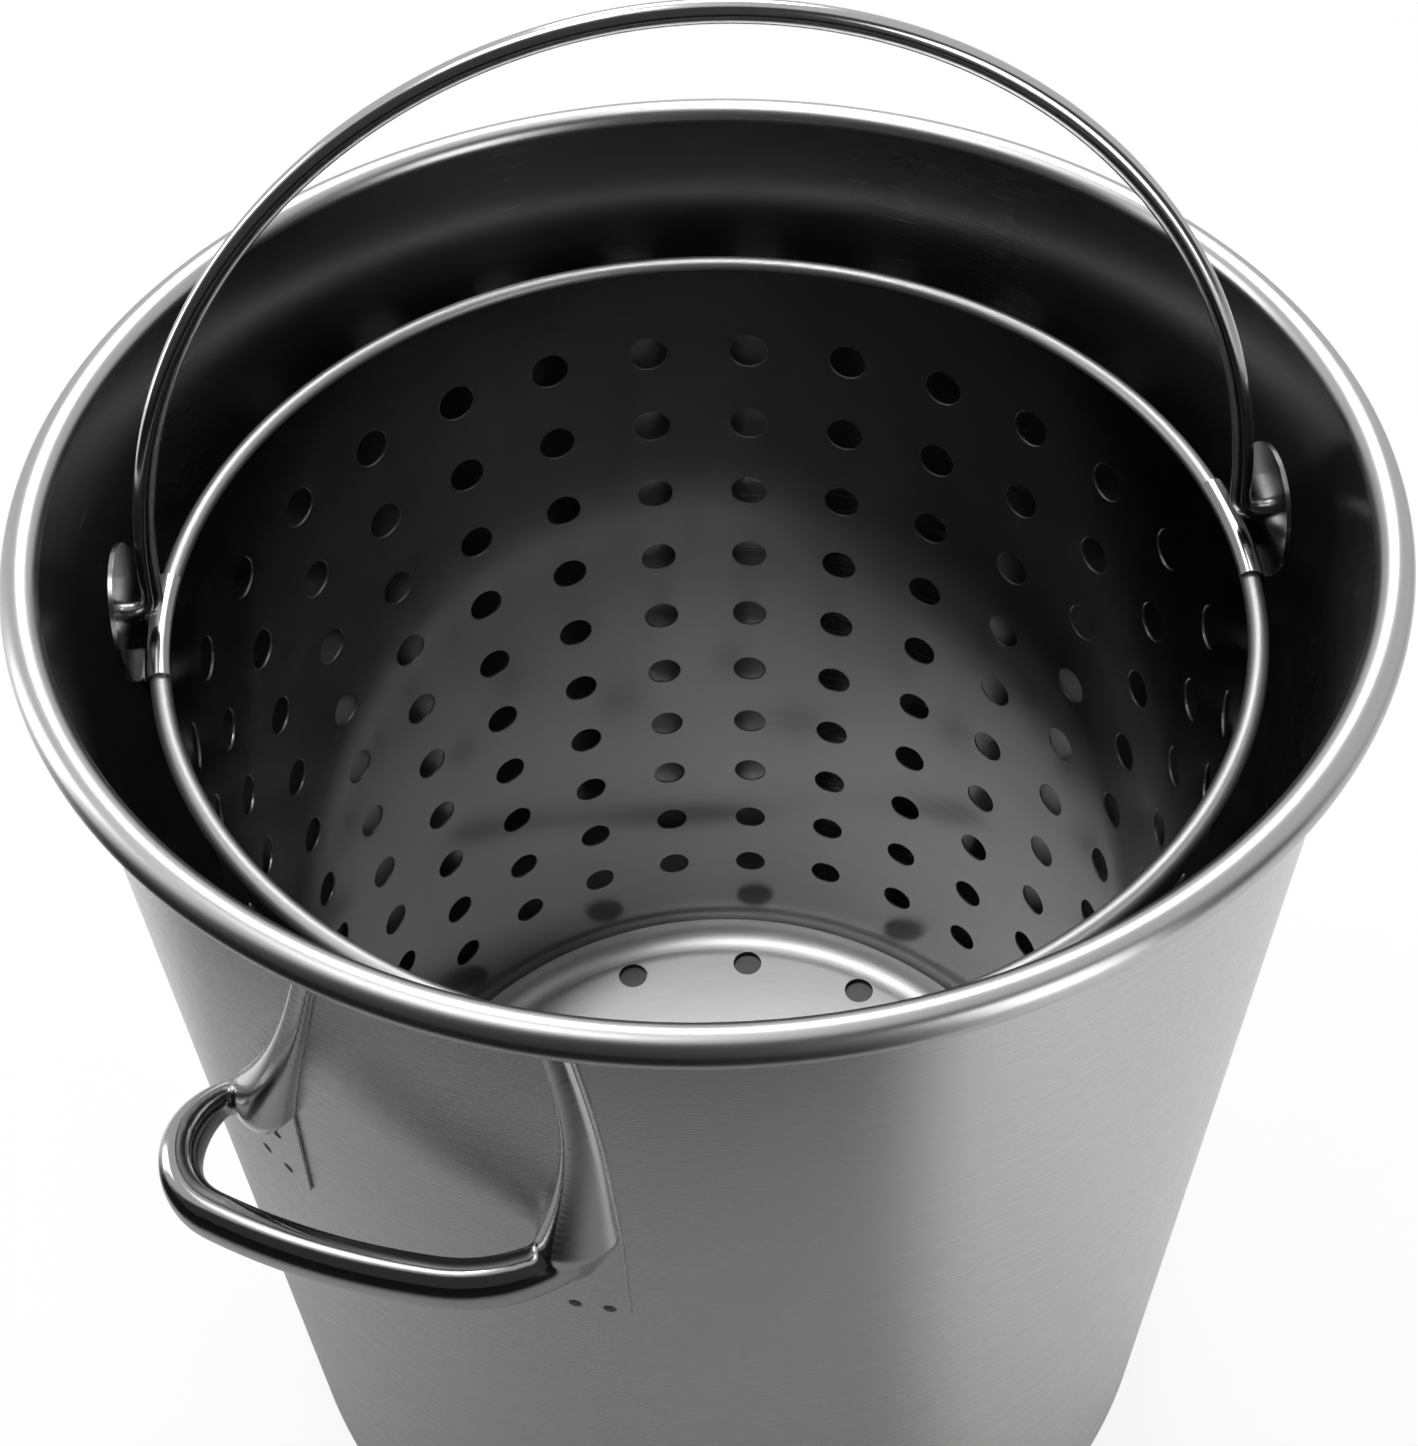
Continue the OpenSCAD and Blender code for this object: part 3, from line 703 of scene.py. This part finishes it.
# Side handles: a grip of rounded section swept along its path and two tapered legs, blended into one casting
handleLook = {
    "padR": 202.2, "cutR": 201.9, "backDepth": 5.0, "drop": 113.0,
    # the grip, seen from above: a tight bend at the left, a long front and a wide bend at the right
    "reachX": 231.0, "leftY": 68.5, "leftR": 22.5, "leftSweep": 156.0, "frontR": 230.0, "turnY": 24.0,
    "rightR": 50.0, "overlap": 9.2, "high": 19.0, "thick": 12.0, "power": 2.4,
    "endTaper": 0.6, "endSize": 0.5, "gripSides": 36, "gripSteps": (34, 24, 20),
    # the legs, left and right: from a narrow tip under the rim down to the foot, and on behind the grip
    "topDrop": 14.0, "waistW": 7.0, "footW": 23.0, "tipRise": 2.4, "footRise": 10.0, "footY": (50.0, 55.0),
    "lean": (39.0, 0.0), "bow": (-2.0, 4.0), "taper": 2.4, "edgeRise": 1.0, "bell": 0.3, "endBell": 0.25,
    "endW": (20.0, 14.0), "endY": (60.0, 52.0), "endRise": 6.0,
    "legSides": 14, "legSteps": 120, "footSteps": 24,
    # the blend of grip and legs into one casting
    "voxel": 0.7, "smoothing": 36, "swell": 0.05, "askew": 37.0, "askewAxis": (1.0, 0.8, 0.4),
    "cutSides": 512, "cutHigh": 400.0, "merge": 0.02, "sliverFaces": 20, "shading": 50,
}


# One level of a leg: bell-shaped in front, round like the pad behind; side 0 is the left leg, 1 the right
def legSection(look, drop, side):
    share = min(1, (drop - look["topDrop"]) / (look["drop"] - look["topDrop"]))
    foot = max(0, (drop - look["drop"]) / look["high"])
    taper = max(share, 0) ** look["taper"]
    footW, footRise = look["footW"], look["footRise"]
    halfW = (look["waistW"] + (footW - look["waistW"]) * taper - (footW - look["endW"][side]) * foot) / 2
    rise = look["tipRise"] + (footRise - look["tipRise"]) * taper - (footRise - look["endRise"]) * foot
    mid = look["footY"][side] - look["lean"][side] * (1 - share)
    mid += look["bow"][side] * math.sin(math.pi * share) + (look["endY"][side] - look["footY"][side]) * foot
    power = look["bell"] + (look["endBell"] - look["bell"]) * foot
    sign = -1 if side == 0 else 1
    z = potLook["high"] - drop
    front, back = [], []
    for i in range(-look["legSides"], look["legSides"] + 1):
        t = i / look["legSides"]
        y = mid + t * halfW
        x = math.sqrt(look["padR"] ** 2 - y * y)
        height = look["edgeRise"] + (rise - look["edgeRise"]) * ((1 + math.cos(math.pi * t)) / 2) ** power
        front.append((x + height, sign * y, z))
        back.append((x - look["backDepth"], sign * y, z))
    ring = front + back[::-1]
    return ring if sign == 1 else ring[::-1]


def gripSection(look):
    ring = []
    for i in range(look["gripSides"]):
        a = 2 * math.pi * i / look["gripSides"]
        c, s = math.cos(a), math.sin(a)
        ring.append((look["thick"] / 2 * math.copysign(abs(c) ** (2 / look["power"]), c),
                     look["high"] / 2 * math.copysign(abs(s) ** (2 / look["power"]), s)))
    return ring


# The grip follows three arcs that run into each other; its left end starts slim and swells to full size
def gripRings(look):
    mid = potLook["high"] - look["drop"] - look["high"] / 2
    leftC = (look["reachX"] - look["leftR"], -(look["leftY"] - look["leftR"]))
    frontC = (look["reachX"] - look["frontR"], leftC[1])
    turnAngle = math.asin((look["turnY"] - frontC[1]) / look["frontR"])
    rightC = (frontC[0] + (look["frontR"] - look["rightR"]) * math.cos(turnAngle),
              look["turnY"] - look["rightR"] * math.sin(turnAngle))
    endAngle = math.acos((look["padR"] - look["overlap"] - rightC[0]) / look["rightR"])
    arcs = [(leftC, look["leftR"], math.radians(-look["leftSweep"]), 0.0),
            (frontC, look["frontR"], 0.0, turnAngle), (rightC, look["rightR"], turnAngle, endAngle)]
    section = gripSection(look)
    rings = []
    for (c, r, a0, a1), steps in zip(arcs, look["gripSteps"]):
        for k in range(0 if c is leftC else 1, steps + 1):
            a = a0 + (a1 - a0) * k / steps
            size = 1.0
            if c is leftC:
                t = min(1, k / steps / look["endTaper"])
                size = look["endSize"] + (1 - look["endSize"]) * t * t * (3 - 2 * t)
            rings.append([(c[0] + (r + q * size) * math.cos(a), c[1] + (r + q * size) * math.sin(a),
                           mid + h * size) for q, h in section])
    return rings


def addLoft(bm, rings):
    made = [[bm.verts.new(Vector(p) * mm) for p in ring] for ring in rings]
    n = len(rings[0])
    for low, high in zip(made, made[1:]):
        for i in range(n):
            bm.faces.new((low[i], low[(i + 1) % n], high[(i + 1) % n], high[i]))
    bm.faces.new(made[0][::-1])
    bm.faces.new(made[-1])


# Grip and legs as three closed forms in one mesh, still unjoined
def makeRoughHandle(look, name):
    bm = bmesh.new()
    addLoft(bm, gripRings(look))
    legHigh = look["drop"] - look["topDrop"]
    drops = [look["topDrop"] + legHigh * i / look["legSteps"] for i in range(look["legSteps"] + 1)]
    drops += [look["drop"] + look["high"] * i / look["footSteps"] for i in range(1, look["footSteps"] + 1)]
    for side in (0, 1):
        addLoft(bm, [legSection(look, drop, side) for drop in drops])
    bmesh.ops.recalc_face_normals(bm, faces=bm.faces)
    return asMesh(bm, name + "Rough")


# Joined on a fine grid, relaxed so that every inner corner gets a small fillet, and grown back to size
def blended(mesh, look, name):
    # turned askew meanwhile, so that no large face lies along the grid
    askew = Matrix.Rotation(math.radians(look["askew"]), 4, Vector(look["askewAxis"]))
    mesh.transform(askew)
    draft = linked(name + "Rough", mesh)
    remesh = draft.modifiers.new("join", "REMESH")
    remesh.mode = "VOXEL"
    remesh.voxel_size = look["voxel"] * mm
    remesh.use_smooth_shade = True
    relax = draft.modifiers.new("relax", "SMOOTH")
    relax.factor = 0.5
    relax.iterations = look["smoothing"]
    swell = draft.modifiers.new("swell", "DISPLACE")
    swell.strength = look["swell"] * mm
    swell.mid_level = 0
    draft = applied(draft, name + "Relaxed")
    draft.data.transform(askew.inverted())
    return draft


def makeHandle(look, name, turned):
    draft = blended(makeRoughHandle(look, name), look, name)
    # the back is cut to the round of the pads behind it
    high = look["cutHigh"] * mm
    bm = bmesh.new()
    bmesh.ops.create_cone(bm, cap_ends=True, segments=look["cutSides"], radius1=look["cutR"] * mm,
                          radius2=look["cutR"] * mm, depth=high, matrix=Matrix.Translation((0, 0, high)))
    cutter = linked(name + "Cut", asMesh(bm, name + "Cut"))
    addCut(draft, cutter)
    piece = applied(draft, name)
    keptWhole(piece.data, look)
    bpy.data.objects.remove(cutter)
    if turned:
        piece.data.transform(Matrix.Rotation(math.pi, 4, "Z"))
    piece.data.materials.clear()
    piece.data.materials.append(castSteel)
    smoothByAngle(piece.data, look["shading"])
    return piece


for name, node, turned in (("nearHandleCast", "near_handle", False), ("farHandleCast", "far_handle", True)):
    handle = makeHandle(handleLook, name, turned)
    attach(handle, "pot")
    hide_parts(node)
    print(name, len(handle.data.polygons), "faces")

# Pads behind the legs, with eased edges
padLook = {"edge": 0.25, "segments": 1, "sharp": 40, "merge": 0.05, "flat": 1.0}
for end in ("near", "far"):
    for side in ("Left", "Right"):
        node = f"{end}_pad_{side.lower()}"
        pad = easedCopy(node, f"{end}Pad{side}Sheet", padLook, outerWall)
        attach(pad, "pot")
        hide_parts(node)
print("pads eased")

# Spot-weld marks on the pads' tabs: how far round from the handle's middle, and how far below the rim
weldLook = {
    "across": (52.0, 62.5), "drops": {"left": (136.0, 157.0), "right": (157.0,)}, "size": 4.2, "high": 0.25,
}


# Tree for the weld marks: a low round bump on every point, turned to face out from the axis
def makeWeldTree():
    tree, inp, out = newTree("spotWeldMarks", [
        ("Size", "NodeSocketFloat", 0.004), ("Height", "NodeSocketFloat", 0.0002),
        ("Sides", "NodeSocketInt", 16), ("Finish", "NodeSocketMaterial", None)])
    ball = addNode(tree, "GeometryNodeMeshUVSphere", {
        "Segments": inp["Sides"], "Rings": 8, "Radius": mathNode(tree, "MULTIPLY", inp["Size"], 0.5)})
    flat = mathNode(tree, "DIVIDE", mathNode(tree, "MULTIPLY", inp["Height"], 2.0), inp["Size"])
    scale = addNode(tree, "ShaderNodeCombineXYZ", {0: 1.0, 1: 1.0, 2: flat})
    bump = addNode(tree, "GeometryNodeTransform", {
        "Geometry": ball.outputs["Mesh"], "Scale": scale.outputs[0]})
    at = addNode(tree, "GeometryNodeInputPosition")
    level = {0: at.outputs[0], 1: (1.0, 1.0, 0.0)}
    outward = addNode(tree, "ShaderNodeVectorMath", level, operation="MULTIPLY")
    turnTo = addNode(tree, "FunctionNodeAlignRotationToVector", {"Vector": outward.outputs[0]}, axis="Z")
    laid = addNode(tree, "GeometryNodeInstanceOnPoints", {
        "Points": inp["Geometry"], "Instance": bump.outputs[0], "Rotation": turnTo.outputs[0]})
    real = addNode(tree, "GeometryNodeRealizeInstances", {"Geometry": laid.outputs[0]})
    done = addNode(tree, "GeometryNodeSetMaterial", {"Geometry": real.outputs[0], "Material": inp["Finish"]})
    tree.links.new(done.outputs[0], out["Geometry"])
    return tree


def makeWelds(look):
    points = []
    for flip in (1, -1):
        r = flip * handleLook["padR"] * mm
        for side, sign in (("right", 1), ("left", -1)):
            for across in look["across"]:
                for drop in look["drops"][side]:
                    a = sign * across / handleLook["padR"]
                    points.append((r * math.cos(a), r * math.sin(a), (potLook["high"] - drop) * mm))
    seeds = bpy.data.meshes.new("weldSeeds")
    seeds.from_pydata(points, [], [])
    welds = runTree(makeWeldTree(), seeds, "spotWelds", {
        "Size": look["size"] * mm, "Height": look["high"] * mm, "Finish": weldSteel})
    smoothAll(welds.data)
    return welds


spotWelds = makeWelds(weldLook)
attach(spotWelds, "pot")
print("weld marks laid")

# Ears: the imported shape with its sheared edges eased
earLook = {"edge": 0.35, "segments": 2, "sharp": 40, "merge": 0.05, "flat": 1.0}
for side in ("Left", "Right"):
    node = f"ear_{side.lower()}"
    ear = easedCopy(node, f"ear{side}Sheet", earLook, earSteel)
    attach(ear, "pot")
    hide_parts(node)
print("ears eased")

# Bail: a round rod swept along one path, with eased ends that turn in the ears
bailLook = {
    "rodD": 6.5, "radius": 174.54, "bendR": 7.0, "pivotZ": 444.0, "lean": 9.0, "turn": basketLook["turn"],
    "tipX": 188.04, "sides": 32, "easeFrom": 0.8, "easeMid": 0.28, "tipSize": 0.72, "midSize": 0.9,
    "tipStraight": 3.0, "bendSteps": 12, "bowSteps": 60, "shading": 60,
}


def makeBailTree():
    tree, inp, out = newTree("roundRod", [
        ("Radius", "NodeSocketFloat", 0.003), ("Sides", "NodeSocketInt", 32),
        ("Finish", "NodeSocketMaterial", None)])
    path = addNode(tree, "GeometryNodeMeshToCurve", {"Mesh": inp["Geometry"]})
    section = addNode(tree, "GeometryNodeCurvePrimitiveCircle", {
        "Resolution": inp["Sides"], "Radius": inp["Radius"]})
    size = addNode(tree, "GeometryNodeInputNamedAttribute", {"Name": "thickness"}, data_type="FLOAT")
    rod = addNode(tree, "GeometryNodeCurveToMesh", {
        "Curve": path.outputs[0], "Profile Curve": section.outputs[0],
        "Scale": size.outputs[0], "Fill Caps": True})
    real = addNode(tree, "GeometryNodeRealizeInstances", {"Geometry": rod.outputs[0]})
    done = addNode(tree, "GeometryNodeSetMaterial", {"Geometry": real.outputs[0], "Material": inp["Finish"]})
    tree.links.new(done.outputs[0], out["Geometry"])
    return tree


# Half of the bail's path in its own plane, from a tip through the bend to the top: across, height, thickness
def bailHalf(look):
    r, b, tip = look["radius"], look["bendR"], look["tipX"]
    start = math.degrees(math.asin(b / (r + b)))
    bendX = (r + b) * math.cos(math.radians(start))
    half = [(tip, 0.0, look["tipSize"]), (tip - look["easeMid"], 0.0, look["midSize"]),
            (tip - look["easeFrom"], 0.0, 1.0), (tip - look["tipStraight"], 0.0, 1.0),
            ((tip + bendX) / 2, 0.0, 1.0)]
    bend = arc(bendX, b, b, 270, 180 + start, look["bendSteps"])
    bow = arc(0, 0, r, start, 90, look["bowSteps"])[1:]
    return half + [(x, z, 1.0) for x, z in bend + bow]


def makeBail(look):
    half = bailHalf(look)
    path = half + [(-x, z, size) for x, z, size in half[-2::-1]]
    lean, spin = math.radians(look["lean"]), math.radians(look["turn"])
    points = []
    for x, z, size in path:
        y, up = z * math.sin(lean), z * math.cos(lean) + look["pivotZ"]
        points.append(((x * math.cos(spin) - y * math.sin(spin)) * mm,
                       (x * math.sin(spin) + y * math.cos(spin)) * mm, up * mm))
    line = bpy.data.meshes.new("bailPath")
    line.from_pydata(points, [(i, i + 1) for i in range(len(points) - 1)], [])
    attribute = line.attributes.new("thickness", "FLOAT", "POINT")
    for i, (x, z, size) in enumerate(path):
        attribute.data[i].value = size
    rod = runTree(makeBailTree(), line, "bailRod", {
        "Radius": look["rodD"] / 2 * mm, "Sides": look["sides"], "Finish": rodSteel})
    smoothByAngle(rod.data, look["shading"])
    return rod


bailRod = makeBail(bailLook)
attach(bailRod, "bail")
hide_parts("bail")
print("bail swept:", len(bailRod.data.polygons), "faces")

# Floor: to the camera pale paper all over; to the metal the same paper with painted shade, darker in front of
# the pot
# near and far are the painted shade tones of the paper in front of the pot, as the metal sees it
floorLook = {
    "half": 6.0, "pale": 0.92, "near": 0.50, "far": 0.015, "nearR": 0.42, "farR": 0.62,
    "sectorFrom": 0.28, "sectorTo": 0.60, "axis": (0.995, -0.105), "whitening": 0.86,
}


def easeNode(tree, value, low, high, start=0.0, end=1.0):
    n = tree.nodes.new("ShaderNodeMapRange")
    n.interpolation_type = "SMOOTHSTEP"
    for key, v in (("From Min", low), ("From Max", high), ("To Min", start), ("To Max", end)):
        n.inputs[key].default_value = v
    tree.links.new(value, n.inputs["Value"])
    return n.outputs[0]


def mixNode(tree, share, a, b):
    n = tree.nodes.new("ShaderNodeMix")
    n.data_type = "RGBA"
    tree.links.new(share, n.inputs["Factor"])
    for key, v in (("A", a), ("B", b)):
        if isinstance(v, bpy.types.NodeSocket):
            tree.links.new(v, n.inputs[key])
        else:
            n.inputs[key].default_value = grey(v)
    return n.outputs["Result"]


def mixShaders(tree, share, a, b, out):
    blend = tree.nodes.new("ShaderNodeMixShader")
    for i, socket in enumerate((share, a, b)):
        tree.links.new(socket, blend.inputs[i])
    tree.links.new(blend.outputs[0], out.inputs["Surface"])


def makeFloorPaper(look):
    mat, tree, bsdf = newMaterial("floorPaper")
    place = tree.nodes.new("ShaderNodeSeparateXYZ")
    tree.links.new(tree.nodes.new("ShaderNodeTexCoord").outputs["Object"], place.inputs[0])
    x, y = place.outputs[0], place.outputs[1]
    away = fromAxis(tree, x, y)
    along = mathNode(tree, "MULTIPLY_ADD", x, look["axis"][0], mathNode(tree, "MULTIPLY", y, look["axis"][1]))
    ahead = mathNode(tree, "DIVIDE", along, mathNode(tree, "MAXIMUM", away, 0.001))
    paintedShadeSector = easeNode(tree, ahead, look["sectorFrom"], look["sectorTo"])
    distance = easeNode(tree, away, look["nearR"], look["farR"])
    # painted shade: for reflections the paper is darker in a sector in front of the pot, and darker still
    # farther out
    paintedFrontShade = mixNode(tree, paintedShadeSector, look["pale"], mixNode(tree, distance, look["near"], look["far"]))
    byCamera = tree.nodes.new("ShaderNodeLightPath").outputs["Is Camera Ray"]
    tree.links.new(mixNode(tree, byCamera, paintedFrontShade, look["pale"]), bsdf.inputs["Base Color"])
    bsdf.inputs["Roughness"].default_value = 1.0
    bsdf.inputs["Specular IOR Level"].default_value = 0.0
    # most of what the camera sees is plain white, and the rest keeps the object's shadow
    glow = tree.nodes.new("ShaderNodeEmission")
    out = next(n for n in tree.nodes if n.bl_idname == "ShaderNodeOutputMaterial")
    whitened = mathNode(tree, "MULTIPLY", byCamera, look["whitening"])
    mixShaders(tree, whitened, bsdf.outputs[0], glow.outputs[0], out)
    return mat


def makeFloor(look):
    h = look["half"]
    mesh = bpy.data.meshes.new("floor")
    mesh.from_pydata([(-h, -h, 0), (h, -h, 0), (h, h, 0), (-h, h, 0)], [], [(0, 1, 2, 3)])
    mesh.materials.append(makeFloorPaper(look))
    return linked("floor", mesh)


makeFloor(floorLook)

# World: white to the camera; to the metal, a pale tent behind and above and a dim room in front
worldLook = {"tent": 0.80, "room": 0.06, "towards": (-0.83, -0.433, 0.35), "edge": 0.10}


def makeWorld(look):
    world = bpy.data.worlds.new("studio")
    world.use_nodes = True
    tree = world.node_tree
    tree.nodes.clear()
    facing = tree.nodes.new("ShaderNodeVectorMath")
    facing.operation = "DOT_PRODUCT"
    facing.inputs[1].default_value = look["towards"]
    tree.links.new(tree.nodes.new("ShaderNodeTexCoord").outputs["Generated"], facing.inputs[0])
    dome = tree.nodes.new("ShaderNodeBackground")
    white = tree.nodes.new("ShaderNodeBackground")
    for background in (dome, white):
        background.inputs["Color"].default_value = grey(1)
    tent = easeNode(tree, facing.outputs["Value"], -look["edge"], look["edge"], look["room"], look["tent"])
    tree.links.new(tent, dome.inputs["Strength"])
    byCamera = tree.nodes.new("ShaderNodeLightPath").outputs["Is Camera Ray"]
    mixShaders(tree, byCamera, dome.outputs[0], white.outputs[0], tree.nodes.new("ShaderNodeOutputWorld"))
    return world


scene.world = makeWorld(worldLook)


def placedLamp(lamp, at, aim):
    holder = linked(lamp.name, lamp)
    holder.location = at
    holder.rotation_euler = (Vector(aim) - Vector(at)).to_track_quat("-Z", "Y").to_euler()


# Soft lamps: name, place, what it points at, width, height, watts
softLamps = [
    ("backTop", (-1.2, -0.6, 2.0), (0, 0, 0.35), 1.2, 0.8, 22),
    ("leftSide", (0.5, -1.9, 0.9), (0, 0, 0.35), 0.5, 1.6, 9),
    ("rightSide", (0.6, 1.65, 0.9), (0, 0, 0.35), 0.6, 1.4, 9),
    ("aboveSoft", (0.30, -0.50, 2.2), (0.1, 0, 0.3), 0.9, 0.9, 5),
]
for name, at, aim, wide, high, watts in softLamps:
    soft = bpy.data.lights.new(name, "AREA")
    soft.shape = "RECTANGLE"
    soft.size = wide
    soft.size_y = high
    soft.energy = watts
    placedLamp(soft, at, aim)

# A narrow lamp from above the pot's left side, aimed at the middle of the basket's bottom
wellLook = {
    "at": (0.08, -0.28, 2.2), "aim": (-0.02, 0.0, 0.0), "watts": 185, "cone": 9, "blend": 0.5, "soft": 0.12,
}
well = bpy.data.lights.new("intoBasket", "SPOT")
well.energy = wellLook["watts"]
well.spot_size = math.radians(wellLook["cone"])
well.spot_blend = wellLook["blend"]
well.shadow_soft_size = wellLook["soft"]
placedLamp(well, wellLook["at"], wellLook["aim"])
print("floor, world and lamps set")
